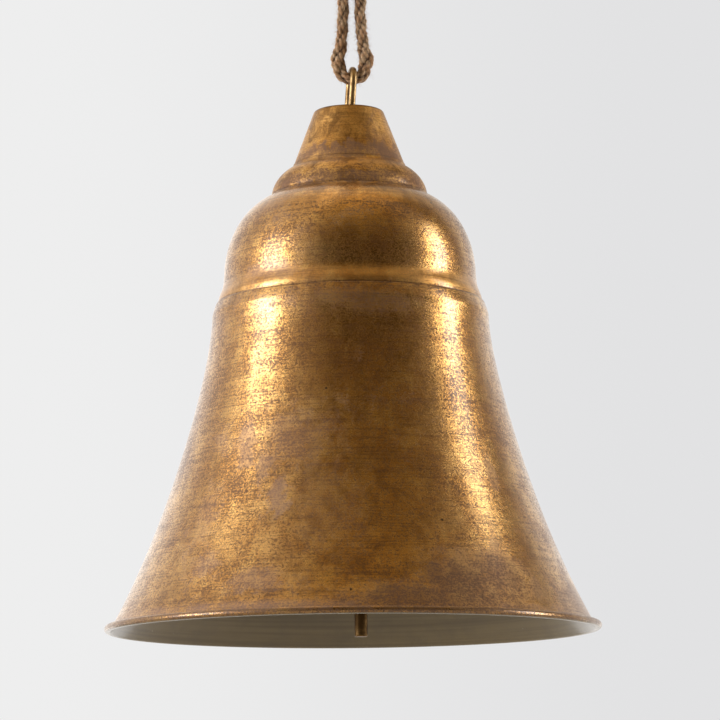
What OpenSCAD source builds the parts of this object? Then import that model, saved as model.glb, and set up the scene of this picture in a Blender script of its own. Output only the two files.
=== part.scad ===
// Hanging bell of spun sheet metal on a doubled rope, with a rod clapper and a screw hook.
// The origin is on the hook's axis, in the plane of the ceiling. +Z is up.

/* [Bell] */
// Radius of the mouth, to the outside of the rolled rim
mouth_r = 150; // [140:0.5:160]
// Height of the bell, from the middle of the rolled rim to the flat crown
bell_h = 320; // [310:1:330]
// Thickness of the sheet
sheet = 0.8; // [0.5:0.1:1.2]
// Diameter of the rolled rim
bead_d = 4.4; // [4:0.1:5]
// Height of the step between the skirt and the shoulder
step_z = 198.5; // [196:0.5:201]
// Height of the seam between the shoulder and the collar
collar_z = 266.2; // [266:0.2:268]
// Height of the seam between the collar and the crown
crown_z = 286; // [285:0.2:287]
// Radius of the flat crown
crown_top_r = 22; // [21:0.1:23]

/* [Loop on the crown] */
// Diameter of the loop's wire
loop_wire_d = 4.3; // [4:0.1:4.8]
// Distance between the middles of the loop's legs
loop_pitch = 17.3; // [17:0.1:18]
// Height of the loop above the crown
loop_h = 28.6; // [28:0.1:30]
// Turn of the loop about its own middle, in degrees
loop_turn = 8.5; // [0:0.5:12]
// How far the middle of the loop's legs is from the bell's axis at the crown
loop_foot = 0.6; // [0:0.1:2]
// How far the middle of the loop's top is from the bell's axis
loop_off = 2.4; // [2:0.1:3]

/* [Clapper] */
// Diameter of the clapper rod
rod_d = 8; // [6:0.5:10]
// How far the rod reaches below the middle of the rolled rim
rod_below = 5; // [0:1:10]
// How far the rod hangs from the bell's axis
rod_off = 4.7; // [4.5:0.1:5]
// Diameter of the wire of the eye bolt and of the clapper's eye
eye_wire_d = 4; // [3.5:0.1:4]
// Diameter of the link's wire
link_wire_d = 3; // [2.5:0.1:3]

/* [Rope and hook] */
// Diameter of the rope
rope_d = 6.4; // [6:0.1:6.5]
// Diameter of the hook's wire
hook_wire_d = 4.4; // [4:0.1:4.4]
// Inner radius of the hook's bowl
hook_r = 14; // [13:0.5:15]
// Distance from the ceiling down to the wire at the bottom of the bowl
hook_drop = 44; // [42:1:50]
// Length of the screw above the ceiling
screw_l = 24; // [15:1:30]

/* [Hidden] */
$fn = 96;

wire_fn = 32;
gap = 0.3;                                  // clearance between pieces that swing on each other
bead_r = bead_d / 2;
bead_x = mouth_r - bead_r;
roll_r = bead_r - sheet;                    // inner radius of the rolled edge
rope_r = rope_d / 2;
loop_r = loop_pitch / 2;
loop_top = loop_h - loop_wire_d / 2;        // middle of the wire at the top of the loop
bight_z = loop_top - loop_wire_d / 2 - gap - rope_r; // rope's middle above the crown
rope_drop = 63.1;                           // from the hook's wire down to the rope's lowest middle
rim_z = -hook_drop - rope_drop - bight_z - bell_h;
bell_x = -loop_off;

// The loop's legs bend above the crown and lean, so that the loop's top is off the bell's axis
bend_h = 1;
bend_r = 8;
rise = loop_top - bend_h;
reach = (loop_off - loop_foot) / cos(loop_turn);
loop_lean = atan2(rise, bend_r - reach) - acos(bend_r / norm([bend_r - reach, rise]));
bend_end = [bend_r * (1 - cos(loop_lean)), bend_r * sin(loop_lean)];
leg_l = (rise - bend_end[1]) / cos(loop_lean);
sunk = 0.2;                                 // how deep the straight wire goes into each bend

// Seam radii and the ledges that each shell turns in, for the next one to stand on
ledge = 5.5;
crown_r = 34.2;
collar_r = 48.1;
step_r = 81;
skirt_r = 84.8;
lap = 0.4;                                  // how far each shell stands proud of the one above it
land = 1;                                   // height of the upright edge at the foot of each shell
flare_end = [mouth_r - 5.9, 3.7];           // where the skirt's flare meets the rolled rim

edge_r = 2;                                 // rounding of the crown's top edge

// Crown fittings
plate_r = 16;
plate_t = 2;
washer_t = 0.8;
nut_af = 7;
nut_t = 3.2;
stud_d = 4;
stud_out = 1.7;                             // how far the loop's ends reach past their nuts
washer_d = 8;
hole_play = 0.2;                            // hole diameter less stud diameter
plate_z = bell_h - sheet - plate_t;
washer_z = plate_z - washer_t;
nut_z = washer_z - nut_t;

// Clapper chain, as heights above the rim
eye_r = 6;                                  // middle radius of the eye bolt's eye
eye_z = plate_z - nut_t - 10;
eye_low = eye_z - eye_r;                    // middle of the wire that the link hangs on
link_r = 5;
link_top = eye_low + eye_wire_d / 2 + gap + link_wire_d / 2;
link_low = link_top - 22;                   // middle of the wire that the clapper hangs on
clap_eye_r = 5.5;
clap_eye_z = link_low + link_wire_d / 2 + gap + eye_wire_d / 2 - clap_eye_r;
rod_top = clap_eye_z - clap_eye_r - 2;
eye_stem = 15;                              // how deep the clapper's eye goes into the rod

// Hook
hook_wire_r = hook_wire_d / 2;
bowl_r = hook_r + hook_wire_r;
bowl_z = -hook_drop + bowl_r;
neck_r = 6;
neck_a = acos(neck_r / (bowl_r + neck_r));
neck_z = bowl_z + (bowl_r + neck_r) * sin(neck_a);
tip_a = 20;                                 // how far the bowl rises past level at its open end
thread_root = 1.7;
thread_pitch = 2;

// Knot
knot_z = 3.3;                               // flat foot of the knot above the middle of the hook's wire

// Half of the rope's route: x from its middle and height above its lowest point
HALF_ROUTE = [[2.8, 0.5], [5.5, 2.1], [7.1, 4.2], [8, 6.6], [8.6, 9.2], [8.8, 12], [8.4, 15], [7.7, 18],
              [7, 21.5], [6.5, 25], [6.1, 30], [5.7, 35], [5.3, 43], [5.35, 51], [5.75, 59],
              [5.75, 66.4]];

function reverse(list) = [for (i = [len(list) - 1 : -1 : 0]) list[i]];
function unit(v) = v / norm(v);
function left_of(v) = [-v[1], v[0]];
function right_normal(a, b) = -left_of(unit(b - a));

// Normal of a path at point i, long enough to keep an even thickness through a corner
function corner_normal(p, i) =
    let (n1 = i > 0 ? right_normal(p[i - 1], p[i]) : right_normal(p[0], p[1]),
         n2 = i < len(p) - 1 ? right_normal(p[i], p[i + 1]) : n1,
         n = unit(n1 + n2))
    n / (n * n1);

// Closed outline of the sheet whose outer face follows the path downwards
function sheet_outline(p) =
    concat(p, reverse([for (i = [0 : len(p) - 1]) p[i] + sheet * corner_normal(p, i)]));

function arc(c, rx, ry, a1, a2, n) = [for (i = [0 : n]) let (a = a1 + (a2 - a1) * i / n)
                                      [c[0] + rx * cos(a), c[1] + ry * sin(a)]];
function bezier(a, b, c, d, n) = [for (i = [0 : n]) let (t = i / n, s = 1 - t)
                                  s * s * s * a + 3 * s * s * t * b + 3 * s * t * t * c + t * t * t * d];

// Outer faces of the shells, from the top down, as [radius, height above the rim]
crown_path = concat([[0, bell_h]],
                    arc([crown_top_r - edge_r, bell_h - edge_r], edge_r, edge_r, 90, 20, 5),
                    [[crown_r, crown_z + land], [crown_r, crown_z]]);
collar_path = concat([[crown_r - ledge, crown_z], [crown_r + lap, crown_z]],
                     arc([22.9, 265], 25.2, 21.5, 60, 6, 10),
                     [[collar_r, collar_z + land], [collar_r, collar_z]]);
shoulder_path = concat([[collar_r - ledge, collar_z], [collar_r + lap, collar_z]],
                       arc([38, 215], 39.3, 52, 72, 2, 16),
                       arc([98.6, 210.1], 20.5, 20.5, 183, 210, 6),
                       [[step_r, step_z + land], [step_r, step_z]]);
flare_path = bezier([skirt_r, 190], [skirt_r, 162], [108.7, 70], flare_end, 26);
roll_a = let (v = flare_end - [bead_x, 0]) atan2(v[1], v[0]) + acos(roll_r / norm(v));
skirt_path = concat([[step_r - ledge, step_z], [step_r + 0.2, step_z]],
                    arc([81.3, step_z - 1.4], 1.4, 1.4, 75, 20, 4),
                    [[83.4, 195.4], [84.1, 193.4], [84.6, 191.6]],
                    flare_path,
                    arc([bead_x, 0], roll_r, roll_r, roll_a, roll_a + 290, 18));

// The rope's whole route, from the knot down, under the loop's wire and up to the knot
ROUTE = concat(reverse([for (p = HALF_ROUTE) [-p[0], 0, p[1]]]), [[0, 0, 0]],
               [for (p = HALF_ROUTE) [p[0], 0, p[1]]]);

// Tube swept along points in the XZ plane, with level ends
module tube(points, r, sides) {
    n = len(points);
    dirs = [for (i = [0 : n - 1]) i == 0 ? [0, 0, -1] : i == n - 1 ? [0, 0, 1]
                                  : unit(points[i + 1] - points[i - 1])];
    rings = [for (i = [0 : n - 1]) for (k = [0 : sides - 1]) let (a = 360 * (k + 0.5) / sides)
             points[i] + r * (cos(a) * cross([0, 1, 0], dirs[i]) + sin(a) * [0, 1, 0])];
    sides_faces = [for (i = [0 : n - 2]) for (k = [0 : sides - 1]) let (m = (k + 1) % sides)
                   [i * sides + k, i * sides + m, (i + 1) * sides + m, (i + 1) * sides + k]];
    polyhedron(rings, concat(sides_faces, [[for (k = [sides - 1 : -1 : 0]) k]],
                             [[for (k = [0 : sides - 1]) (n - 1) * sides + k]]));
}

module in_bell() { translate([bell_x, 0, rim_z]) children(); }
module in_loop() { translate([loop_foot, 0, 0]) rotate(loop_turn) children(); }
module on_legs() { for (s = [-1, 1]) translate([0, s * loop_r, 0]) children(); }
module lathe(path) { rotate_extrude() polygon(sheet_outline(path)); }
module hex_nut(bore) {
    difference() {
        cylinder(d = nut_af / cos(30), h = nut_t, $fn = 6);
        translate([0, 0, -1]) cylinder(d = bore, h = nut_t + 2);
    }
}

// Part of a ring of round wire that lies in the YZ plane, from angle a over the given sweep
module wire_arc(r, wire_r, a, sweep) {
    rotate([90, 0, 90]) rotate(a) rotate_extrude(angle = sweep)
        translate([r, 0]) circle(r = wire_r, $fn = wire_fn);
}

// Ball on the hook's wire at angle a of an arc of radius r, a little fatter than the wire
module wire_ball(r, a, fat) {
    translate([0, r * cos(a), r * sin(a)]) sphere(r = hook_wire_r + fat, $fn = wire_fn);
}

module ceiling_hook() {
    turns = floor((screw_l - 6) / thread_pitch);
    color("#8a6f3c") union() {
        translate([0, 0, bowl_z]) {
            wire_arc(bowl_r, hook_wire_r, 180 - neck_a, 180 + tip_a + neck_a);
            wire_ball(bowl_r, tip_a, 0.3);
            wire_ball(bowl_r, 180 - neck_a, 0.04);
        }
        translate([0, -neck_r, neck_z]) {
            wire_arc(neck_r, hook_wire_r, -neck_a, neck_a);
            wire_ball(neck_r, 0, 0.04);
        }
        rotate_extrude() polygon(concat([[0, neck_z], [hook_wire_r, neck_z], [hook_wire_r, 2]],
            [for (i = [0 : turns - 1])
             for (q = [[thread_root, 0.3], [thread_root, 0.5], [hook_wire_r, 0.8], [hook_wire_r, 1]])
             [q[0], 2 + thread_pitch * (i + q[1])]],
            [[0.3, screw_l], [0, screw_l]]));
    }
}

module rope() { color("#9a7a55") translate([0, 0, -hook_drop - rope_drop]) tube(ROUTE, rope_r, 10); }

module rope_knot() {
    tail = [5, 10];
    color("#9a7a55") translate([0, 0, -hook_drop + knot_z]) union() {
        hull() {
            translate([0, 0, 0.25]) cube([19, 6.6, 0.5], center = true);
            for (s = [-1, 1]) translate([s * 3.5, 0, 8]) sphere(r = 6.8, $fn = 24);
        }
        for (s = [-1, 1]) translate([s * tail[0], 0, tail[1]]) rotate([0, s * 35, 0])
            cylinder(r = rope_r, h = 9, $fn = 16);
    }
}

module hanger_loop() {
    color("#a9873f") in_bell() translate([0, 0, bell_h]) in_loop() union() {
        on_legs() {
            translate([0, 0, nut_z - stud_out - bell_h])
                cylinder(d = stud_d, h = bell_h - nut_z + stud_out, $fn = wire_fn);
            cylinder(d = loop_wire_d, h = bend_h + sunk, $fn = wire_fn);
            translate([bend_r, 0, bend_h]) rotate([90, 0, 0]) rotate(180 - loop_lean)
                rotate_extrude(angle = loop_lean) translate([bend_r, 0])
                circle(d = loop_wire_d + 0.04, $fn = wire_fn);
        }
        translate([bend_end[0], 0, bend_h + bend_end[1]]) rotate([0, loop_lean, 0]) {
            on_legs() translate([0, 0, -sunk])
                cylinder(d = loop_wire_d, h = leg_l - loop_r + sunk, $fn = wire_fn);
            translate([0, 0, leg_l - loop_r]) wire_arc(loop_r, loop_wire_d / 2, 0, 180);
        }
    }
}

module crown_cap() {
    color("#b08a3e") in_bell() difference() {
        lathe(crown_path);
        translate([0, 0, plate_z]) in_loop() on_legs() cylinder(d = stud_d + hole_play, h = 10);
    }
}

module collar() { color("#b08a3e") in_bell() lathe(collar_path); }
module shoulder() { color("#b08a3e") in_bell() lathe(shoulder_path); }
module skirt() { color("#b08a3e") in_bell() lathe(skirt_path); }

module rim_wire() {
    play = 0.05;
    color("#8c8c88") in_bell() rotate_extrude() translate([bead_x, 0])
        circle(r = roll_r - play, $fn = wire_fn);
}

module clapper_plate() {
    color("#8c8c88") in_bell() difference() {
        translate([0, 0, plate_z]) cylinder(r = plate_r, h = plate_t);
        translate([0, 0, plate_z - 1]) in_loop() on_legs()
            cylinder(d = stud_d + hole_play, h = plate_t + 2);
        translate([rod_off, 0, plate_z - 1]) cylinder(d = eye_wire_d, h = plate_t + 2);
    }
}

module loop_washers() {
    color("#b5b5b0") in_bell() in_loop() on_legs() translate([0, 0, washer_z]) difference() {
        cylinder(d = washer_d, h = washer_t);
        translate([0, 0, -1]) cylinder(d = stud_d + hole_play, h = washer_t + 2);
    }
}

module loop_nuts() {
    color("#b5b5b0") in_bell() in_loop() on_legs() translate([0, 0, nut_z]) hex_nut(stud_d);
}

module eye_bolt() {
    color("#b5b5b0") in_bell() translate([rod_off, 0, 0]) union() {
        translate([0, 0, eye_z]) rotate(90) wire_arc(eye_r, eye_wire_d / 2, 0, 360);
        translate([0, 0, eye_z + eye_r]) cylinder(d = eye_wire_d, h = bell_h - sheet - eye_z - eye_r);
    }
}

module eye_nut() {
    color("#b5b5b0") in_bell() translate([rod_off, 0, plate_z - nut_t]) rotate(30)
        hex_nut(eye_wire_d);
}

module clapper_link() {
    straight = link_top - link_low - 2 * link_r;
    color("#b5b5b0") in_bell() translate([rod_off, 0, link_low + link_r]) union() {
        wire_arc(link_r, link_wire_d / 2, 180, 180);
        translate([0, 0, straight]) wire_arc(link_r, link_wire_d / 2, 0, 180);
        for (s = [-1, 1]) translate([0, s * link_r, 0]) cylinder(d = link_wire_d, h = straight);
    }
}

module clapper_eye() {
    color("#b5b5b0") in_bell() translate([rod_off, 0, 0]) union() {
        translate([0, 0, clap_eye_z]) rotate(90) wire_arc(clap_eye_r, eye_wire_d / 2, 0, 360);
        translate([0, 0, rod_top - eye_stem]) cylinder(d = eye_wire_d, h = eye_stem + 2);
    }
}

module clapper_rod() {
    chamfer = 0.5;
    r = rod_d / 2;
    bore = eye_wire_d / 2;
    color("#6b5430") in_bell() translate([rod_off, 0, 0]) rotate_extrude() polygon([
        [0, -rod_below], [r - chamfer, -rod_below], [r, chamfer - rod_below], [r, rod_top - chamfer],
        [r - chamfer, rod_top], [bore, rod_top], [bore, rod_top - eye_stem], [0, rod_top - eye_stem]]);
}

ceiling_hook();
rope();
rope_knot();
hanger_loop();
crown_cap();
collar();
shoulder();
skirt();
rim_wire();
clapper_plate();
loop_washers();
loop_nuts();
eye_bolt();
eye_nut();
clapper_link();
clapper_eye();
clapper_rod();
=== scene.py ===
import math
import random

import bmesh
import bpy
import numpy as np
from mathutils import Matrix, Vector, noise


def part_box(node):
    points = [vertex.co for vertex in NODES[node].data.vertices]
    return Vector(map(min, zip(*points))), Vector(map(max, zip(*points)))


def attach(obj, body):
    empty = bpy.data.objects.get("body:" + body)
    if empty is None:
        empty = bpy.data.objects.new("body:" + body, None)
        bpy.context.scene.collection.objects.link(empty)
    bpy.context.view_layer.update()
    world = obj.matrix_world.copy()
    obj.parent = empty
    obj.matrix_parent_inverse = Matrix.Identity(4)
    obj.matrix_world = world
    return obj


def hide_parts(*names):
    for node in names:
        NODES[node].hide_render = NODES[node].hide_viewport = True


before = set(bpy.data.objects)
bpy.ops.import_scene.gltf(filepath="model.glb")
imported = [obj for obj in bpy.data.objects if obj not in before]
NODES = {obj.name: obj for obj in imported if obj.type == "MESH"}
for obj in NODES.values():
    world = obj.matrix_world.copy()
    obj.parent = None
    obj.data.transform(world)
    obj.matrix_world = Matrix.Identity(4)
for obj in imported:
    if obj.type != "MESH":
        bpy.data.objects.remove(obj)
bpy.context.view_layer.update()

MM = 0.001

# Sizes that the CAD model is made with
SHEET = 0.8 * MM                                # thickness of the four shells
MOUTH_R = 150 * MM
BEAD_R = 2.2 * MM                               # outside of the rolled rim
ROPE_D = 6.4 * MM

# ---------------------------------------------------------------- places, from the frame
SKIRT_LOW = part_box("skirt")[0]
CROWN_LOW, CROWN_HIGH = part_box("crown_cap")
COLLAR_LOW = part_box("collar")[0]
SHOULDER_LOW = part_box("shoulder")[0]
ROPE_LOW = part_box("rope")[0]

BELL_X = (CROWN_LOW.x + CROWN_HIGH.x) / 2
RIM_Z = SKIRT_LOW.z + BEAD_R                    # middle of the rolled rim
BELL_H = CROWN_HIGH.z - RIM_Z
CROWN_Z = CROWN_LOW.z - RIM_Z                   # seams, above the rim
COLLAR_Z = COLLAR_LOW.z - RIM_Z
STEP_Z = SHOULDER_LOW.z - RIM_Z
BIGHT_Z = ROPE_LOW.z + ROPE_D / 2               # middle of the rope at its lowest point


# ---------------------------------------------------------------- curves
def arc(mid_x, mid_z, across, up, start, end, steps):
    """Points along an ellipse from start to end, in degrees."""
    return [(mid_x + across * math.cos(math.radians(a)), mid_z + up * math.sin(math.radians(a)))
            for a in np.linspace(start, end, steps + 1)]


def bezier(a, b, c, d, steps):
    """Points along a cubic curve from a to d, drawn towards b and c."""
    a, b, c, d = (np.array(point, float) for point in (a, b, c, d))
    points = []
    for t in np.linspace(0, 1, steps + 1):
        s = 1 - t
        points.append(tuple(s ** 3 * a + 3 * s ** 2 * t * b + 3 * s * t * t * c + t ** 3 * d))
    return points


# The skirt's outer line, in mm as (radius, height above the rim)
SKIRT_R = 84.8
FLARE_END = (144.1, 3.7)                        # where the sheet begins to roll round the rim's wire
FLARE = bezier((SKIRT_R, 190), (SKIRT_R, 162), (108.7, 70), FLARE_END, 90)


# ---------------------------------------------------------------- camera
CAMERA_LENS = 155.45                            # mm, on a sensor 36 mm wide
CAMERA_BACK = 1.8803                            # metres in front of the bell's axis
CAMERA_DROP = 0.1348                            # metres under the rim
CAMERA_TURN = -0.17                             # degrees, to the right of the bell's axis
CAMERA_TILT = 9.036                             # degrees upward
CAMERA_ROLL = -0.54                             # degrees, which the bell leans by in the view


def make_camera():
    data = bpy.data.cameras.new("camera")
    data.sensor_width = 36
    data.lens = CAMERA_LENS
    camera = bpy.data.objects.new("camera", data)
    bpy.context.scene.collection.objects.link(camera)
    camera.location = (BELL_X, -CAMERA_BACK, RIM_Z - CAMERA_DROP)
    turn = Matrix.Rotation(math.radians(CAMERA_TURN), 3, "Z")
    tilt = Matrix.Rotation(math.radians(90 + CAMERA_TILT), 3, "X")
    roll = Matrix.Rotation(math.radians(CAMERA_ROLL), 3, "Z")
    camera.rotation_euler = (turn @ tilt @ roll).to_euler()
    bpy.context.scene.camera = camera


make_camera()


# ---------------------------------------------------------------- node helpers
class Nodes:
    """Short calls that add and link shader nodes."""

    def __init__(self, tree):
        self.tree = tree
        tree.nodes.clear()

    def add(self, kind, inputs=None, **settings):
        node = self.tree.nodes.new(kind)
        for key, value in settings.items():
            setattr(node, key, value)
        for key, value in (inputs or {}).items():
            self.put(node.inputs[key], value)
        return node

    def put(self, socket, value):
        if isinstance(value, bpy.types.NodeSocket):
            self.tree.links.new(value, socket)
        else:
            socket.default_value = value

    def math(self, operation, a, b=0.0):
        node = self.add("ShaderNodeMath", operation=operation)
        self.put(node.inputs[0], a)
        self.put(node.inputs[1], b)
        return node.outputs[0]

    def chain(self, operation, values):
        """The operation on the first two values, then on that and the third, and so on."""
        total, *others = values
        for value in others:
            total = self.math(operation, total, value)
        return total

    def plus(self, *values):
        return self.chain("ADD", values)

    def times(self, *values):
        return self.chain("MULTIPLY", values)

    def most(self, *values):
        return self.chain("MAXIMUM", values)

    def rest(self, share):
        """What is left of 1."""
        return self.math("SUBTRACT", 1.0, share)

    def spread(self, value, amount):
        """A noise of 0 to 1 as minus to plus half of amount."""
        return self.times(self.math("SUBTRACT", value, 0.5), amount)

    def ramp(self, value, low, high, to_low=0.0, to_high=1.0, smooth=True):
        """to_low where value is low or less, to_high where it is high or more."""
        limits = {"From Min": low, "From Max": high, "To Min": to_low, "To Max": to_high}
        kind = "SMOOTHSTEP" if smooth else "LINEAR"
        node = self.add("ShaderNodeMapRange", limits, interpolation_type=kind)
        self.put(node.inputs["Value"], value)
        return node.outputs["Result"]

    def window(self, value, low, high, soft):
        """1 between low and high, falling to 0 over soft on each side."""
        return self.times(self.ramp(value, low - soft, low), self.ramp(value, high, high + soft, 1.0, 0.0))

    def mix(self, share, a, b):
        """Colour a where share is 0, colour b where it is 1."""
        node = self.add("ShaderNodeMix", data_type="RGBA")
        self.put(node.inputs["Factor"], share)
        self.put(node.inputs["A"], a)
        self.put(node.inputs["B"], b)
        return node.outputs["Result"]

    def vector(self, operation, *vectors):
        return self.add("ShaderNodeVectorMath", dict(enumerate(vectors)), operation=operation).outputs

    def scaled(self, place, scale, offset=(0, 0, 0)):
        mapping = {"Vector": place, "Scale": scale, "Location": offset}
        return self.add("ShaderNodeMapping", mapping).outputs["Vector"]

    def noise(self, place, scale, detail=3.0, rough=0.55, distort=0.0):
        return self.add("ShaderNodeTexNoise", {"Vector": place, "Scale": scale, "Detail": detail,
                                               "Roughness": rough, "Distortion": distort}).outputs["Fac"]

    def cells(self, place, scale):
        """Scattered cells: the distance to the nearest middle, and a number of 0 to 1 for each cell."""
        found = self.add("ShaderNodeTexVoronoi", {"Vector": place, "Scale": scale}, feature="F1").outputs
        return found["Distance"], self.add("ShaderNodeSeparateColor", {"Color": found["Color"]}).outputs[0]

    def bump(self, height, distance, strength=1.0, normal=None):
        node = self.add("ShaderNodeBump", {"Height": height, "Distance": distance, "Strength": strength})
        if normal is not None:
            self.put(node.inputs["Normal"], normal)
        return node.outputs["Normal"]


def material(name):
    mat = bpy.data.materials.new(name)
    mat.use_nodes = True
    return mat, Nodes(mat.node_tree)


def shader(n, **inputs):
    """The finished surface: a Principled shader, with spaces in its socket names written as _."""
    surface = n.add("ShaderNodeBsdfPrincipled", {key.replace("_", " "): v for key, v in inputs.items()})
    n.add("ShaderNodeOutputMaterial", {"Surface": surface.outputs[0]})


def rgb(r, g, b):
    """A colour given as 0 to 255 sRGB, as linear RGBA."""
    def linear(c):
        c /= 255
        return c / 12.92 if c <= 0.04045 else ((c + 0.055) / 1.055) ** 2.4
    return (linear(r), linear(g), linear(b), 1)


# ---------------------------------------------------------------- antique brass
# Patches of bloom on the skirt and the shoulder: degrees round from the front, height above the rim,
# width and height in mm, how dark it is and how thick
BLOOMS = [(-36, 100, 8, 14, 0.1, 0.6), (-27, 86, 7, 10, 0.0, 0.7), (-22, 70, 9, 15, 0.0, 0.9),
          (-17, 104, 26, 20, 0.2, 0.45), (-40, 30, 11, 10, 0.1, 0.7), (-24, 19, 16, 9, 0.1, 0.7),
          (-14, 190, 16, 16, 0.3, 0.15), (-45, 60, 10, 26, 0.2, 0.4), (27, 16, 28, 20, 1.0, 0.95),
          (12, 8, 44, 9, 0.9, 1.0), (39, 22, 26, 20, 1.0, 0.85), (-6, 60, 22, 34, 0.5, 0.3),
          (48, 84, 5, 22, 0.9, 0.6), (50, 15, 7, 10, 0.8, 0.8), (10, 186, 26, 8, 1.0, 0.5),
          (-3, 190, 22, 6, 0.9, 0.5), (72, 10, 30, 20, 0.7, 0.85), (-38, 209, 24, 7, 0.2, 0.75),
          (-22, 228, 11, 14, 0.8, 0.5)]
# Bands with few worn specks, so brighter gold: in part painted highlight on bands that face up and catch
# the light. Lower and upper edge, above the rim
POLISHED_LIT_BANDS = [(STEP_Z + 3 * MM, STEP_Z + 10 * MM), (COLLAR_Z - 14 * MM, COLLAR_Z - 3 * MM),
            (CROWN_Z - 6 * MM, CROWN_Z - 1 * MM)]
# Lines of dirt at the rim and the seams: height above the rim, how far below and above it, how dark
DIRT_LINES = [(0.0, 2.4 * MM, 1.2 * MM, 0.5), (STEP_Z, 0.8 * MM, 0.4 * MM, 0.45),
              (COLLAR_Z, 0.8 * MM, 0.4 * MM, 0.2), (CROWN_Z, 0.8 * MM, 0.4 * MM, 0.15)]


class BrassFields:
    """What the brass's layers share: the place, the height above the rim, and noises of 0 to 1."""

    def __init__(self, n):
        place = n.add("ShaderNodeTexCoord").outputs["Object"]
        up = n.add("ShaderNodeSeparateXYZ", {"Vector": place}).outputs["Z"]
        self.place = place
        self.height = n.math("SUBTRACT", up, RIM_Z)
        self.wide = n.noise(place, 15, 4, 0.55, 0.4)
        self.mottle = n.noise(place, 55, 5, 0.62, 0.3)
        self.ragged = n.noise(place, 105, 7, 0.76, 0.5)
        self.grain = n.noise(n.scaled(place, (1, 1, 1.25)), 640, 4, 0.72)
        dust = n.noise(n.scaled(place, (1, 1, 1.1), (3, 1, 7)), 1500, 2, 0.6)
        self.speckle = n.plus(n.times(self.grain, 0.62), n.times(dust, 0.38))
        self.brush = n.noise(n.scaled(place, (26, 26, 1250)), 1, 3, 0.65)
        self.sweep = n.noise(n.scaled(place, (9, 9, 300), (1, 5, 2)), 1, 3, 0.6)


def brass_wear(n, brass):
    """How much of the dark ground shows, in fine specks: less towards the top and on the bands of
    POLISHED_LIT_BANDS, which are in part painted highlight.
    """
    wear = n.plus(n.spread(brass.mottle, 0.19), n.spread(brass.wide, 0.13), n.spread(brass.brush, 0.15),
                  n.spread(brass.sweep, 0.09))
    kept = n.ramp(brass.height, COLLAR_Z, CROWN_Z + 4 * MM, 1.0, 0.45)
    worn = n.times(n.ramp(n.plus(brass.speckle, n.times(wear, kept)), 0.455, 0.575), kept)
    # Painted highlight in part: the lit bands lose most of their dark specks
    polish_and_light = n.most(*(n.window(brass.height, bottom, top, 3 * MM) for bottom, top in POLISHED_LIT_BANDS))
    return n.times(worn, n.rest(n.times(polish_and_light, 0.62)))


def skirt_radius(up):
    """The skirt's outer radius in metres at a height above the rim in mm. Above the skirt it is its top's."""
    radii, heights = zip(*reversed(FLARE))
    return float(np.interp(up, heights, radii)) * MM


def bloom_patch(n, brass, degrees, up, width, height, dark, thick):
    """One soft patch with a ragged edge. A pale one is the more ragged."""
    a, r = math.radians(degrees), skirt_radius(up)
    middle = (BELL_X + r * math.sin(a), -r * math.cos(a), RIM_Z + up * MM)
    offset = n.vector("SUBTRACT", brass.place, middle)[0]
    in_widths = n.scaled(offset, (1 / (width * MM), 1 / (width * MM), 1 / (height * MM)))
    away = n.plus(n.vector("LENGTH", in_widths)["Value"], n.spread(brass.ragged, 4.6 - 2.4 * dark))
    return n.ramp(away, 0.35, 1.35, thick, 0.0)


def brass_bloom(n, brass):
    """Grey-mauve bloom, and how dark it is: scattered patches, those of BLOOMS, and bands over the rim and
    the two upper seams."""
    field = n.noise(n.scaled(brass.place, (1, 1, 1), (0.31, 0.02, 0.17)), 26, 6, 0.66, 0.5)
    bloom = n.times(n.ramp(n.plus(field, n.times(brass.speckle, 0.3)), 0.70, 0.88), 0.6)
    shade = n.times(bloom, 0.2)
    for degrees, up, width, height, dark, thick in BLOOMS:
        patch = bloom_patch(n, brass, degrees, up, width, height, dark, thick)
        bloom = n.most(bloom, patch)
        shade = n.most(shade, n.times(patch, dark))
    bands = n.window(brass.height, 2.4 * MM, 4 * MM, 5 * MM)
    uneven = n.plus(brass.height, n.spread(brass.ragged, 34 * MM))
    for bottom in (COLLAR_Z, CROWN_Z - 1 * MM):
        band = n.window(uneven, bottom, bottom + 7 * MM, 4 * MM)
        bands = n.most(bands, band)
        shade = n.most(shade, n.times(band, 0.45))
    bands = n.times(bands, n.ramp(n.plus(brass.mottle, n.times(brass.speckle, 0.5)), 0.50, 0.86))
    return n.times(n.most(bloom, bands), n.ramp(brass.speckle, 0.35, 0.55, 0.7, 1.0)), shade


def gold_leaf(n, brass):
    """The leaf's own colour: warm gold in soft clouds, browner towards the top."""
    clouds = n.noise(n.scaled(brass.place, (1.25, 1.25, 0.8), (2, 4, 1)), 85, 5, 0.65, 0.5)
    top = n.ramp(brass.height, COLLAR_Z - 25 * MM, COLLAR_Z + 5 * MM)
    gold = n.mix(n.ramp(brass.mottle, 0.36, 0.66), rgb(222, 174, 106), rgb(200, 146, 78))
    gold = n.mix(n.ramp(brass.wide, 0.40, 0.60, 0.0, 0.45), gold, rgb(192, 136, 64))
    gold = n.mix(n.times(top, 0.36), gold, rgb(172, 126, 52))
    brown = n.times(n.ramp(clouds, 0.47, 0.62), n.plus(0.3, n.times(top, 0.35)))
    gold = n.mix(brown, gold, rgb(104, 70, 32))
    return n.mix(n.times(n.ramp(clouds, 0.34, 0.44, 1.0, 0.0), 0.5), gold, rgb(236, 188, 110))


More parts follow.
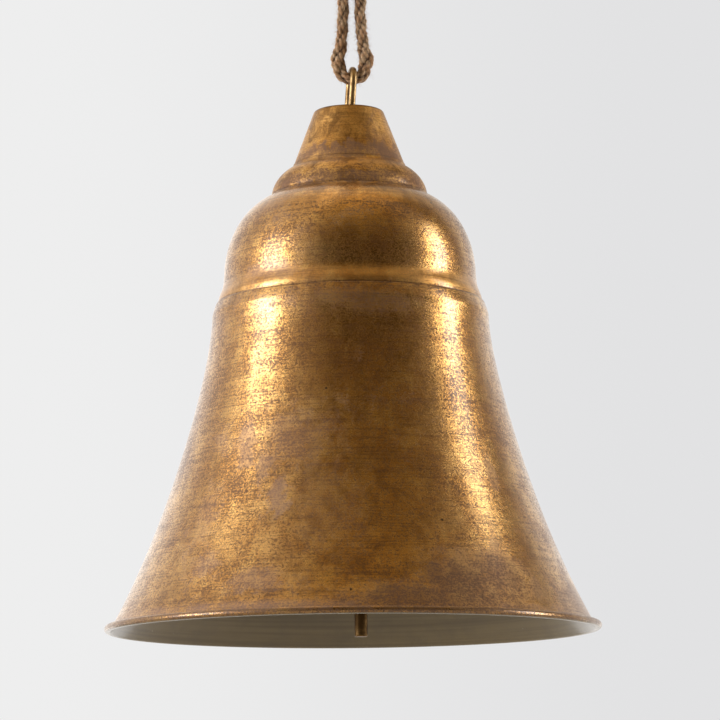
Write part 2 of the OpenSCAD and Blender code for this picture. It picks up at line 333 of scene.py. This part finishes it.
def brass_dirt_and_edge_shade(n, brass):
    """Painted shade on the crown's rounded top edge and a little on its flat top, and grime at the rim and in
    the seams.
    """
    from_axis = n.vector("LENGTH", n.scaled(brass.place, (1, 1, 0), (-BELL_X, 0, 0)))["Value"]
    # Painted shade: a dark line on the crown's rounded top edge, fainter over its flat top
    dirt_and_shade = n.times(n.ramp(brass.height, BELL_H - 1.7 * MM, BELL_H - 0.3 * MM, 0.0, 0.8),
                   n.ramp(from_axis, 14 * MM, 19 * MM, 0.25, 1.0))
    for line, below, above, dark in DIRT_LINES:
        dirt_and_shade = n.most(dirt_and_shade, n.times(n.window(brass.height, line - below, line + above, 0.8 * MM), dark))
    return dirt_and_shade


def brass_pits(n, brass):
    """Small dark pits, in about one cell of four."""
    distance, chance = n.cells(brass.place, 60.0)
    return n.times(n.ramp(distance, 0.03, 0.06, 1.0, 0.0), n.ramp(chance, 0.75, 0.77))


def inside_paint(n, brass):
    """Cream paint inside, up to a broken edge under the rolled rim: where it is, and its colour, which is
    given much darker than the paint itself, as painted shade inside the bell.
    """
    edge = n.add("ShaderNodeAttribute", attribute_name="inside").outputs["Fac"]
    paint = n.ramp(n.plus(edge, n.spread(brass.grain, 1.2)), 0.35, 0.65)
    rings = n.noise(n.scaled(brass.place, (6, 6, 420)), 1, 3, 0.6)
    chips = n.times(n.ramp(n.noise(brass.place, 210, 3, 0.6, 1.0), 0.745, 0.76), paint)
    # The paint's colour here is a dark khaki, far darker than the pale paint: painted shade inside the bell
    shaded_cream = n.mix(n.ramp(rings, 0.35, 0.7), rgb(106, 90, 56), rgb(87, 72, 41))
    shaded_cream = n.mix(n.ramp(brass.mottle, 0.4, 0.7, 0.0, 0.35), shaded_cream, rgb(74, 62, 42))
    return paint, n.mix(chips, shaded_cream, rgb(214, 206, 190))


def brass_relief(n, brass):
    """Shallow lumps, lines that run round the bell, and the specks."""
    lumps = n.bump(n.plus(brass.wide, n.times(brass.mottle, 0.25)), 1.6 * MM, 0.25)
    lines = n.bump(brass.brush, 0.05 * MM, 0.5, lumps)
    return n.bump(n.rest(brass.speckle), 0.30 * MM, 0.55, lines)


def antique_brass():
    """Thin polished leaf, worn to a dark brown ground, with bloom, grime and pits, and paint inside. Painted
    shade darkens the crown's top edge and the paint inside; fewer worn specks on lit bands are in part
    painted highlight.
    """
    mat, n = material("antique_brass")
    brass = BrassFields(n)
    worn = brass_wear(n, brass)
    bloom, shade = brass_bloom(n, brass)
    paint, shaded_cream = inside_paint(n, brass)

    tone = n.mix(n.times(worn, 0.9), gold_leaf(n, brass), rgb(96, 60, 21))
    tone = n.mix(n.times(n.ramp(brass.brush, 0.50, 0.64), 0.3), tone, rgb(84, 46, 20))
    tone = n.mix(n.times(bloom, 0.74), tone, n.mix(shade, rgb(150, 118, 98), rgb(88, 58, 42)))
    # Painted shade on the crown's top edge, and grime at the rim and the seams
    tone = n.mix(brass_dirt_and_edge_shade(n, brass), tone, rgb(60, 36, 18))
    tone = n.mix(brass_pits(n, brass), tone, rgb(38, 22, 12))

    rough = n.plus(n.ramp(worn, 0, 1, 0.18, 0.52, smooth=False), n.times(bloom, 0.3),
                   n.ramp(brass.height, COLLAR_Z - 8 * MM, COLLAR_Z + 4 * MM, 0.0, 0.24),
                   n.times(n.window(brass.height, STEP_Z, STEP_Z + 8 * MM, 4 * MM), 0.15))
    metal = n.math("SUBTRACT", n.ramp(worn, 0, 1, 1.0, 0.62, smooth=False), n.times(bloom, 0.45))
    lacquer = n.ramp(brass.height, COLLAR_Z - 10 * MM, COLLAR_Z + 2 * MM, 0.6, 0.2)
    shader(n, Base_Color=n.mix(paint, tone, shaded_cream), Metallic=n.times(metal, n.rest(paint)),
           Roughness=n.mix(paint, rough, (0.36, 0.36, 0.36, 1)), Normal=brass_relief(n, brass),
           Coat_Weight=lacquer, Coat_Roughness=0.16)
    return mat


# ---------------------------------------------------------------- other materials
def wire_brass(name, light, dark, rough):
    """Drawn brass wire or rod: fine specks and worn tone."""
    mat, n = material(name)
    place = n.add("ShaderNodeTexCoord").outputs["Object"]
    grain = n.noise(place, 900, 4, 0.65)
    tone = n.mix(n.ramp(n.noise(place, 130, 4, 0.6), 0.38, 0.64), light, dark)
    tone = n.mix(n.times(n.ramp(grain, 0.6, 0.7), 0.5), tone, rgb(50, 32, 16))
    shader(n, Base_Color=tone, Metallic=1.0, Normal=n.bump(grain, 0.08 * MM, 0.4),
           Roughness=n.ramp(grain, 0.3, 0.7, rough, rough + 0.18, smooth=False))
    return mat


def zinc():
    """Zinc-plated steel with a fine spangle and a little rust."""
    mat, n = material("zinc_steel")
    place = n.add("ShaderNodeTexCoord").outputs["Object"]
    spangle = n.cells(place, 420.0)[1]
    tone = n.mix(spangle, rgb(150, 150, 146), rgb(186, 186, 180))
    tone = n.mix(n.ramp(n.noise(place, 160, 4, 0.6), 0.56, 0.7, 0, 0.6), tone, rgb(120, 96, 70))
    shader(n, Base_Color=tone, Metallic=1.0, Normal=n.bump(n.noise(place, 700, 3), 0.05 * MM, 0.3),
           Roughness=n.ramp(spangle, 0, 1, 0.34, 0.48, smooth=False))
    return mat


def jute(name, fineness):
    """Jute: pale and dark fibres along each yarn, dusty and matt. The UV runs along and round the yarn, and
    fineness is how narrow the fibres are."""
    mat, n = material(name)
    uv = n.add("ShaderNodeTexCoord").outputs["UV"]
    place = n.add("ShaderNodeTexCoord").outputs["Object"]
    # Painted shade from the rope's mesh: darker where a strand faces into the rope, between yarns, and where
    # turns of the binding touch
    groove_shade = n.add("ShaderNodeAttribute", attribute_name="groove_shade").outputs["Fac"]
    fibres = n.noise(n.scaled(uv, (220, fineness, 1)), 1, 4, 0.7, 0.3)
    tint = n.noise(place, 190, 4, 0.6)
    flecks = n.ramp(n.noise(place, 460, 3, 0.7, 0.4), 0.52, 0.62, 0.0, 0.5)
    tone = n.mix(n.ramp(fibres, 0.34, 0.66), rgb(150, 104, 66), rgb(252, 222, 180))
    tone = n.mix(n.ramp(tint, 0.40, 0.62, 0.0, 0.75), tone, rgb(190, 138, 92))
    tone = n.mix(flecks, tone, rgb(84, 54, 32))
    tone = n.mix(n.times(groove_shade, 0.9), tone, rgb(50, 29, 15))
    shader(n, Base_Color=tone, Roughness=0.9, Specular_IOR_Level=0.15, Sheen_Weight=0.25,
           Sheen_Roughness=0.6, Normal=n.bump(fibres, 0.5 * MM, 0.9))
    return mat


BRASS = antique_brass()
LOOP_BRASS = wire_brass("loop_brass", rgb(176, 146, 102), rgb(112, 84, 50), 0.30)
HOOK_BRASS = wire_brass("hook_brass", rgb(206, 166, 98), rgb(160, 118, 64), 0.28)
CLAPPER_BRASS = wire_brass("clapper_brass", rgb(128, 100, 62), rgb(84, 62, 36), 0.38)
ZINC = zinc()
JUTE = jute("jute", 26)
JUTE_FUZZ = jute("jute_fuzz", 4)


# ---------------------------------------------------------------- mesh helpers
def add_piece(name, verts, faces, body, mat, uvs=None, attribute=None, sharp=None):
    """A mesh piece that rides on a body. uvs is per vertex, attribute is (name, values per vertex), and
    edges over sharp degrees stay sharp."""
    mesh = bpy.data.meshes.new(name)
    mesh.from_pydata([tuple(v) for v in verts], [], faces)
    mesh.validate()
    mesh.polygons.foreach_set("use_smooth", [True] * len(mesh.polygons))
    if sharp is not None:
        mesh.set_sharp_from_angle(angle=math.radians(sharp))
    if uvs is not None:
        layer = mesh.uv_layers.new(name="UVMap")
        for loop in mesh.loops:
            layer.data[loop.index].uv = uvs[loop.vertex_index]
    if attribute is not None:
        data = mesh.attributes.new(attribute[0], "FLOAT", "POINT").data
        data.foreach_set("value", np.asarray(attribute[1], np.float32))
    mesh.materials.append(mat)
    obj = bpy.data.objects.new(name, mesh)
    bpy.context.scene.collection.objects.link(obj)
    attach(obj, body)
    return obj


def joined(parts):
    """Several (vertices, faces, values per vertex, ...) as one."""
    verts, faces, *values = [], [], *([] for _ in parts[0][2:])
    for part_verts, part_faces, *part_values in parts:
        start = len(verts)
        faces.extend(tuple(start + i for i in face) for face in part_faces)
        verts.extend(part_verts)
        for kept, more in zip(values, part_values):
            kept.extend(more)
    return verts, faces, *values


def weld(obj, distance):
    """Joins vertices that lie together."""
    mesh = bmesh.new()
    mesh.from_mesh(obj.data)
    bmesh.ops.remove_doubles(mesh, verts=mesh.verts, dist=distance)
    mesh.to_mesh(obj.data)
    mesh.free()


# ---------------------------------------------------------------- spun shells
SEGMENTS = 256
FLAT_R = 25 * MM                                # the crown's top has no waves inside this radius
WAVE_R = 30 * MM                                # and the waves next to it are those of this radius

# Outer radii in mm, of the crown's top and of each shell's lower edge
TOP_R = 22
CROWN_R = 34.2
COLLAR_R = 48.1
SHOULDER_R = 81
LEDGE = 5.5                                     # how far in a shell's top goes under the shell above, in mm


def inner_side(path, thick):
    """The path moved to its right by the sheet's thickness, with mitred corners."""
    points = np.array(path)
    step = np.diff(points, axis=0)
    normal = np.stack([step[:, 1], -step[:, 0]], 1) / np.linalg.norm(step, axis=1)[:, None]
    before, after = np.vstack([normal[:1], normal]), np.vstack([normal, normal[-1:]])
    middle = before + after
    middle /= np.linalg.norm(middle, axis=1)[:, None]
    return points + thick * middle / np.maximum((middle * before).sum(1), 0.5)[:, None]


def wobble(r, a, z):
    """Small waves that hand spinning leaves in the sheet."""
    if r <= FLAT_R:
        return 0
    r = max(r, WAVE_R)
    place = Vector((math.cos(a) * r * 9, math.sin(a) * r * 9, z * 11))
    return 0.22 * MM * noise.noise(place) + 0.05 * MM * noise.noise(place * 4.3)


def spin_shell(name, outer, node, bare=0, closed_top=False):
    """Spins a sheet whose outer face follows outer, in mm as (radius, height above the rim). Its inner side
    is painted, but for the last bare points of outer."""
    path = [(r * MM, z * MM) for r, z in outer]
    inner = [tuple(q) for q in inner_side(path, SHEET)]
    if closed_top:
        inner[0] = (0.0, path[0][1] - SHEET)
    ring = path + inner[::-1]
    painted = [0.0] * (len(path) + bare) + [1.0] * (len(path) - bare)
    verts, values, faces = [], [], []
    for k in range(SEGMENTS):
        a = 2 * math.pi * k / SEGMENTS
        for (r, z), value in zip(ring, painted):
            waved = r + wobble(r, a, z)
            verts.append((BELL_X + waved * math.cos(a), waved * math.sin(a), RIM_Z + z))
            values.append(value)
    count = len(ring)
    for k in range(SEGMENTS):
        after = (k + 1) % SEGMENTS
        for i in range(count - (1 if closed_top else 0)):
            j = (i + 1) % count
            faces.append((k * count + i, k * count + j, after * count + j, after * count + i))
    shell = add_piece(name, verts, faces, "bell", BRASS, attribute=("inside", values),
                      sharp=50)
    if closed_top:
        weld(shell, 0.002 * MM)
    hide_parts(node)


def make_crown():
    """A closed cone with a flat top and a rounded top edge."""
    top, seam, edge_r = BELL_H / MM, CROWN_Z / MM, 2
    flat = [(0, top), (6, top), (14, top), (TOP_R - 2.3, top)]
    corner = arc(TOP_R - edge_r, top - edge_r, edge_r, edge_r, 88, 21, 10)
    (r, z), (foot_r, foot_z) = corner[-1], (CROWN_R, seam + 0.15)
    shares = (*np.linspace(0.05, 0.97, 16), 0.99, 1)
    cone = [(r + (foot_r - r) * t, z + (foot_z - z) * t) for t in shares]
    spin_shell("crown_shell", flat + corner + cone + [(CROWN_R - 0.15, seam)], "crown_cap", closed_top=True)


def make_collar():
    """A quarter-round ring."""
    top, seam = CROWN_Z / MM, COLLAR_Z / MM
    ledge = [(CROWN_R - LEDGE, top), (CROWN_R, top), (CROWN_R + 0.4, top - 0.15)]
    bulge = arc(22.9, 265, 25.2, 21.5, 61, 5, 30)
    spin_shell("collar_shell", ledge + bulge + [(COLLAR_R, seam + 0.5), (COLLAR_R - 0.25, seam)], "collar")


def make_shoulder():
    """A dome whose foot turns out to the seam in an S."""
    top, seam = COLLAR_Z / MM, STEP_Z / MM
    ledge = [(COLLAR_R - LEDGE, top), (COLLAR_R + 0.3, top)]
    dome = arc(38, 215, 39.3, 52, 73, 2, 60)
    foot = bezier((77.62, 212.6), (78.1, 205), (80.85, 204.4), (SHOULDER_R, seam + 0.5), 24)
    spin_shell("shoulder_shell", ledge + dome + foot + [(SHOULDER_R - 0.1, seam)], "shoulder")


def make_skirt():
    """The flared skirt, with its edge rolled round the rim's wire."""
    top, brow_r = STEP_Z / MM, 1.4
    painted_curl = 15                           # points of the curl that are still painted inside
    ledge = [(SHOULDER_R - LEDGE, top), (SHOULDER_R + 0.2, top)]
    brow = arc(81.3, top - brow_r, brow_r, brow_r, 78, 20, 8)
    neck = bezier((82.62, 197.58), (84.07, 193.59), (SKIRT_R, 191.07), (SKIRT_R, 190.3), 14)
    rim_r, wire_r = (MOUTH_R - BEAD_R) / MM, (BEAD_R - SHEET) / MM
    across, up = FLARE_END[0] - rim_r, FLARE_END[1]
    start = math.degrees(math.atan2(up, across) + math.acos(wire_r / math.hypot(up, across)))
    curl = arc(rim_r, 0, wire_r, wire_r, start, start + 290, 42)
    spin_shell("skirt_shell", ledge + brow + neck[1:] + FLARE + curl, "skirt",
               bare=len(curl) - painted_curl)


make_crown()
make_collar()
make_shoulder()
make_skirt()


# ---------------------------------------------------------------- rope
# Half of the route, in mm: x from the rope's middle and height above its lowest point
HALF_ROUTE = [(2.8, 0.5), (5.5, 2.1), (7.1, 4.2), (8, 6.6), (8.6, 9.2), (8.8, 12), (8.4, 15), (7.7, 18),
              (7, 21.5), (6.5, 25), (6.1, 30), (5.7, 35), (5.3, 43), (5.35, 51), (5.75, 59), (5.75, 66.4)]
# Where the rope goes on above the hook's wire, to its end
HALF_TAIL = [(5.5, 68.6), (4.5, 71), (3.7, 73.5), (3.4, 76), (3.35, 79), (3.5, 82), (4.1, 85), (5.0, 87.5)]

ROPE_STEP = 0.45 * MM                           # between two rings of points
ROPE_PITCH = 36 * MM                            # one turn of a strand round the rope
STRANDS = 3
STRAND_R = 1.82 * MM
STRAND_OFF = 1.74 * MM                          # a strand's middle from the rope's
STRAND_SIDES = 20
YARNS = 3                                       # in each strand
YARN_PITCH = 12 * MM
SWELL = 0.26                                    # how much wider each leg is where it is widest,
SWELL_UP = 11                                   # in mm above the lowest point,
SWELL_SPREAD = 90                               # and how far the swell reaches, in mm squared
UV_LENGTH = 20 * MM                             # length of rope along one unit of its UV
ACROSS_LEGS = np.array([0.0, 1.0, 0.0])         # square to the plane that both legs hang in


def smooth_path(points, per_span):
    """Catmull-Rom through the points."""
    p = np.array(points, float)
    p = np.vstack([2 * p[0] - p[1], p, 2 * p[-1] - p[-2]])
    out = []
    for i in range(1, len(p) - 2):
        for t in np.arange(per_span) / per_span:
            a, b, c, d = p[i - 1:i + 3]
            out.append(0.5 * (2 * b + (c - a) * t + (2 * a - 5 * b + 4 * c - d) * t * t
                              + (3 * b - a - 3 * c + d) * t ** 3))
    out.append(p[-2])
    return np.array(out)


def resample(path, step):
    """The same path with its points about one step apart."""
    length = np.concatenate([[0], np.cumsum(np.linalg.norm(np.diff(path, axis=0), axis=1))])
    marks = np.linspace(0, length[-1], int(length[-1] / step) + 1)
    return np.stack([np.interp(marks, length, path[:, k]) for k in range(3)], 1)


def tangents(path):
    along = np.gradient(path, axis=0)
    return along / np.linalg.norm(along, axis=1)[:, None]


def cross_frame(path, side):
    """Two unit vectors across the path, the first as near to side as it can be."""
    along = tangents(path)
    first = side - (side * along).sum(1)[:, None] * along
    first /= np.linalg.norm(first, axis=1)[:, None]
    return first, np.cross(along, first)


def around(first, second, angles):
    """Unit vectors at the angles, counted from first towards second."""
    return np.cos(angles)[:, None] * first + np.sin(angles)[:, None] * second


def tube(path, first, second, radii, sides):
    """Vertices and faces of a tube. first and second are its cross_frame, and radii(i, angles) gives the
    radius at each side of point i."""
    angles = 2 * math.pi * np.arange(sides) / sides
    rings = [path[i] + radii(i, angles)[:, None] * around(first[i], second[i], angles)
             for i in range(len(path))]
    faces = []
    for i in range(len(path) - 1):
        for k in range(sides):
            after = (k + 1) % sides
            faces.append((i * sides + k, (i + 1) * sides + k, (i + 1) * sides + after, i * sides + after))
    faces.append(tuple(range(sides)))
    faces.append(tuple((len(path) - 1) * sides + k for k in range(sides - 1, -1, -1)))
    return np.vstack(rings), faces


def rope_line():
    """The middle of the whole rope, and the numbers of its points where it meets the hook's wire."""
    half = [(x * MM, 0, BIGHT_Z + z * MM) for x, z in HALF_ROUTE + HALF_TAIL]
    route = [(-x, y, z) for x, y, z in reversed(half)] + [(0, 0, BIGHT_Z)] + half
    whole = resample(smooth_path(route, 12), ROPE_STEP)
    wire_z = BIGHT_Z + HALF_ROUTE[-1][1] * MM
    below = np.nonzero(whole[:, 2] <= wire_z)[0]
    return whole, int(below[0]), int(below[-1])


def rope_strand(path, first, last, number):
    """One twisted strand along path[first:last + 1], with its yarns' grooves: vertices, faces, UVs and the
    painted shade on each vertex, where it faces into the rope or lies between two yarns. The twist counts
    from the path's own start, so that two stretches of one rope meet without a break."""
    one, two = cross_frame(path, ACROSS_LEGS)
    along = np.arange(len(path)) * np.linalg.norm(path[1] - path[0])
    turn = 2 * math.pi * (along / ROPE_PITCH + number / STRANDS)
    drift = np.array([noise.noise(Vector((s * 130, number * 9.1, 0.5))) for s in along])
    swell = 1 + SWELL * np.exp(-((path[:, 2] - BIGHT_Z) / MM - SWELL_UP) ** 2 / SWELL_SPREAD)
    off = STRAND_OFF * swell * (1 + 0.10 * drift)
    middle = path + off[:, None] * around(one, two, turn)
    one, two = cross_frame(middle, ACROSS_LEGS)

    def lobes(i, angles):
        return np.cos(YARNS * (angles + 2 * math.pi * along[i] / YARN_PITCH))

    def radii(i, angles):
        i += first
        places = [(along[i] * 900, math.cos(a) * 3 + number * 5, math.sin(a) * 3) for a in angles]
        rough = np.array([noise.noise(Vector(place)) for place in places])
        return STRAND_R * swell[i] * (1 + 0.17 * lobes(i, angles) + 0.22 * rough + 0.10 * drift[i])

    stretch = slice(first, last + 1)
    verts, faces = tube(middle[stretch], one[stretch], two[stretch], radii, STRAND_SIDES)
    angles = 2 * math.pi * np.arange(STRAND_SIDES) / STRAND_SIDES
    uvs, groove_shade = [], []
    for i in range(first, last + 1):
        outward = (middle[i] - path[i]) / np.linalg.norm(middle[i] - path[i])
        facing = around(one[i], two[i], angles) @ outward
        # Painted shade: darker on the sides that face into the rope, where the strands touch, and between two
        # yarns
        hidden = np.clip((0.35 - facing) * 1.4, 0, 1)
        between = np.clip(-0.2 - lobes(i, angles), 0, 1) * 0.95
        groove_shade.extend(np.clip(hidden + between, 0, 1))
        uvs.extend([(along[i] / UV_LENGTH, 3 * (a / (2 * math.pi) + along[i] / YARN_PITCH)) for a in angles])
    return verts, faces, uvs, groove_shade


def rope_strands(path, first, last):
    return joined([rope_strand(path, first, last, number) for number in range(STRANDS)])


def add_hair(hairs, points, thick, taper, across, out):
    """Adds a thin three-sided tube to hairs, which is (vertices, faces, UVs). thick is its radius at the
    first point, and it gets thinner by the share taper at each next one."""
    verts, faces, uvs = hairs
    start, spans = len(verts), len(points) - 1
    for i, point in enumerate(points):
        r = thick * (1 - taper * i)
        for side in range(3):
            a = 2 * math.pi * side / 3
            verts.append(point + r * (math.cos(a) * across + math.sin(a) * out))
            uvs.append((i / spans, side / 3))
    for ring in range(start, start + 3 * spans, 3):
        for side in range(3):
            after = (side + 1) % 3
            faces.append((ring + side, ring + after, ring + 3 + after, ring + 3 + side))
    end = start + 3 * spans
    faces.append((start + 2, start + 1, start))
    faces.append((end, end + 1, end + 2))


def fuzz(path, count, seed, reach, lift=1.0):
    """Loose fibres that stand out of the rope."""
    rnd = random.Random(seed)
    first, second = cross_frame(path, ACROSS_LEGS)
    along = tangents(path)
    hairs = ([], [], [])
    for _ in range(count):
        i = rnd.randrange(len(path))
        a = rnd.uniform(0, 2 * math.pi)
        out = math.cos(a) * first[i] + math.sin(a) * second[i]
        across = np.cross(along[i], out)
        way = rnd.choice((-1, 1)) * along[i] * rnd.uniform(0.5, 1.2) + across * rnd.uniform(-0.9, 0.9)
        length = rnd.uniform(0.25, 1.0) ** 1.6 * reach
        curl = rnd.uniform(-0.5, 1.3) * lift
        root = path[i] + out * ROPE_D * 0.40
        thick = rnd.uniform(0.08, 0.19) * MM
        points = [root + length * q * (way + out * (0.35 + curl * q))
                  + across * length * 0.25 * math.sin(q * 3 + a) for q in (0, 0.3, 0.6, 1.0)]
        add_hair(hairs, points, thick, 0.22, across, out)
    return hairs


def make_rope(whole, first, last):
    """The rope up to the hook's wire, and the fibres that stand out of it."""
    verts, faces, uvs, groove_shade = rope_strands(whole, first, last)
    rope = add_piece("rope_strands", verts, faces, "rope", JUTE, uvs, ("groove_shade", groove_shade), sharp=80)
    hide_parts("rope")
    line = whole[first:last + 1]
    short = fuzz(line, count=6000, seed=11, reach=2.6 * MM)
    long = fuzz(line, count=420, seed=12, reach=6 * MM, lift=0.8)
    verts, faces, uvs = joined([short, long])
    return rope, add_piece("rope_fuzz", verts, faces, "rope", JUTE_FUZZ, uvs)


def make_knot(whole, first, last):
    """The rope's two ends above the hook's wire, side by side."""
    ends = [rope_strands(whole, 0, first), rope_strands(whole, last, len(whole) - 1)]
    verts, faces, uvs, groove_shade = joined(ends)
    knot = add_piece("knot_ends", verts, faces, "rope", JUTE, uvs, ("groove_shade", groove_shade), sharp=80)
    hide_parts("rope_knot")
    return knot


def make_binding():
    """Turns of twine round both ends."""
    turns, per_turn, sides = 7, 40, 12
    step, pitch, twine_r = 0.35 * MM, 4 * MM, 0.72 * MM
    bottom = BIGHT_Z + 73.2 * MM
    half_w, half_d = 3.3 * MM, 3.2 * MM + twine_r * 0.8
    points = []
    for i in range(turns * per_turn + 1):
        a = 2 * math.pi * i / per_turn
        x = half_w * math.copysign(min(1, abs(math.cos(a)) * 1.6), math.cos(a)) + half_d * math.cos(a)
        points.append((x, half_d * math.sin(a), bottom + 2 * twine_r * i / per_turn))
    path = resample(np.array(points), step)
    first, second = cross_frame(path, np.array([0.0, 0.0, 1.0]))

    def radii(i, angles):
        return twine_r * (1 + 0.12 * np.cos(2 * (angles - 2 * math.pi * i * step / pitch)))

    verts, faces = tube(path, first, second, radii, sides)
    uvs = [(i * step / UV_LENGTH, k / sides * 3) for i in range(len(path)) for k in range(sides)]
    # Painted shade on the twine's top and bottom, where its turns touch
    groove_shade = [0.25 if k % 6 < 2 else 0.0 for _ in range(len(path)) for k in range(sides)]
    return add_piece("knot_binding", verts, faces, "rope", JUTE, uvs, ("groove_shade", groove_shade), sharp=80)


def make_frays(whole):
    """Loose fibres at the rope's two cut ends."""
    rnd = random.Random(5)
    hairs = ([], [], [])
    per_end, thick = 150, 0.05 * MM
    x_axis, y_axis = np.array([1.0, 0.0, 0.0]), np.array([0.0, 1.0, 0.0])
    for end, before in ((whole[0], whole[6]), (whole[-1], whole[-7])):
        along = (end - before) / np.linalg.norm(end - before)
        for _ in range(per_end):
            out = np.array([rnd.uniform(-1, 1), rnd.uniform(-1, 1), rnd.uniform(-0.3, 0.3)])
            root = end + out * ROPE_D * 0.42 - along * 1.5 * MM
            length = rnd.uniform(1.2, 3) * MM
            side = np.cross(along, out)
            points = [root + along * length * q + out * length * 0.35 * q ** 2 + side * length * 0.12 * q
                      for q in (0, 1 / 3, 2 / 3, 1)]
            add_hair(hairs, points, thick, 0.2, x_axis, y_axis)
    verts, faces, uvs = hairs
    return add_piece("knot_frays", verts, faces, "rope", JUTE_FUZZ, uvs)


WHOLE_LINE, FIRST, LAST = rope_line()
ROPE, ROPE_FUZZ = make_rope(WHOLE_LINE, FIRST, LAST)
ROPE_EXTRAS = [ROPE_FUZZ, make_knot(WHOLE_LINE, FIRST, LAST), make_binding(), make_frays(WHOLE_LINE)]


# ---------------------------------------------------------------- CAD nodes that stay
def finish_nodes(names, mat):
    for name in names:
        mesh = NODES[name].data
        mesh.materials.clear()
        mesh.materials.append(mat)


finish_nodes(["ceiling_hook"], HOOK_BRASS)
finish_nodes(["hanger_loop"], LOOP_BRASS)
finish_nodes(["clapper_rod"], CLAPPER_BRASS)
finish_nodes(["rim_wire", "clapper_plate", "loop_washers", "loop_nuts", "eye_bolt", "eye_nut", "clapper_link",
              "clapper_eye"], ZINC)


# ---------------------------------------------------------------- studio
WHITE_LIGHT = (1.0, 0.99, 0.98, 1)
WARM_LIGHT = (1.0, 0.69, 0.28, 1)
BOX_STRENGTH = 11.2
FLOOR_HALF = 9.0
FLOOR_Z = -3.4


def room_light(n, height):
    """A dark warm room, brighter towards the ceiling. Heights are degrees up from level."""
    return n.plus(n.ramp(height, 12, 66, 0.056, 0.29), n.ramp(height, 54, 80, 0.0, 0.42))


def white_light(n, azimuth, height):
    """Backdrop, screens and soft boxes. Azimuths are degrees round to the right from behind the camera."""
    back = n.plus(n.times(n.ramp(azimuth, 114, 140), n.ramp(height, 6, 50, 1.0, 0.25)),
                  n.ramp(azimuth, -150, -112, 0.35, 0.0))
    left_wall = n.times(n.ramp(azimuth, -60, -14, 0.85, 0.0), n.ramp(height, 30, 68, 1, 0.5))
    far_part = n.times(n.ramp(azimuth, -128, -100, 1.0, 0.0), n.ramp(height, 12, 40, 1.02, 0.66))
    near_part = n.ramp(azimuth, -128, -100)
    left_wall = n.times(left_wall, n.plus(near_part, far_part))
    gap = n.times(n.ramp(azimuth, -62, -42), n.ramp(height, 12, 26, 0.0, 0.38))
    left_wall = n.times(left_wall, n.rest(gap))
    right_wall = n.times(n.ramp(azimuth, 42, 88, 0.0, 0.26), n.ramp(azimuth, 92, 104, 1, 0))
    left_box = n.times(n.window(azimuth, -82, -70, 11), n.window(height, 0, 18, 20), 0.85)
    right_box = n.times(n.window(azimuth, 87, 97, 5), n.window(height, 0, 17, 25))
    boxes = n.times(n.plus(left_box, right_box), BOX_STRENGTH)
    below = n.ramp(height, -12, 0, 0.30, 0.0)
    return n.plus(n.plus(back, n.plus(left_wall, right_wall)), n.plus(boxes, below))


def studio_light():
    """The studio's light by direction, and a pale paper backdrop that only the camera sees."""
    world = bpy.data.worlds.new("studio")
    world.use_nodes = True
    bpy.context.scene.world = world
    n = Nodes(world.node_tree)
    way = n.add("ShaderNodeTexCoord").outputs["Generated"]
    x, y, z = n.add("ShaderNodeSeparateXYZ", {"Vector": way}).outputs
    azimuth = n.times(n.math("ARCTAN2", x, n.times(y, -1.0)), 180 / math.pi)
    height = n.times(n.math("ARCSINE", z), 180 / math.pi)

    room = room_light(n, height)
    strength = n.plus(room, white_light(n, azimuth, height))
    tint = n.mix(n.math("DIVIDE", room, strength), WHITE_LIGHT, WARM_LIGHT)
    light = n.add("ShaderNodeBackground", {"Color": tint, "Strength": strength})
    # The paper is painted a little darker to the right: painted shade across the backdrop
    backdrop = n.mix(n.ramp(x, -0.11, 0.11), rgb(238, 238, 238), rgb(226, 226, 227))
    paper = n.add("ShaderNodeBackground", {"Color": backdrop})
    seen = n.add("ShaderNodeLightPath").outputs["Is Camera Ray"]
    both = n.add("ShaderNodeMixShader", {"Fac": seen, 1: light.outputs[0], 2: paper.outputs[0]})
    n.add("ShaderNodeOutputWorld", {"Surface": both.outputs[0]})


def make_floor():
    """A plain pale floor, far enough below for a view from underneath."""
    mesh = bpy.data.meshes.new("floor")
    corners = [(x * FLOOR_HALF, y * FLOOR_HALF, FLOOR_Z) for x, y in ((-1, -1), (1, -1), (1, 1), (-1, 1))]
    mesh.from_pydata(corners, [], [(0, 1, 2, 3)])
    floor = bpy.data.objects.new("floor", mesh)
    bpy.context.scene.collection.objects.link(floor)
    mat, n = material("floor")
    shader(n, Base_Color=rgb(226, 226, 226), Roughness=0.9)
    mesh.materials.append(mat)


studio_light()
make_floor()
bpy.context.scene.view_settings.view_transform = "Standard"
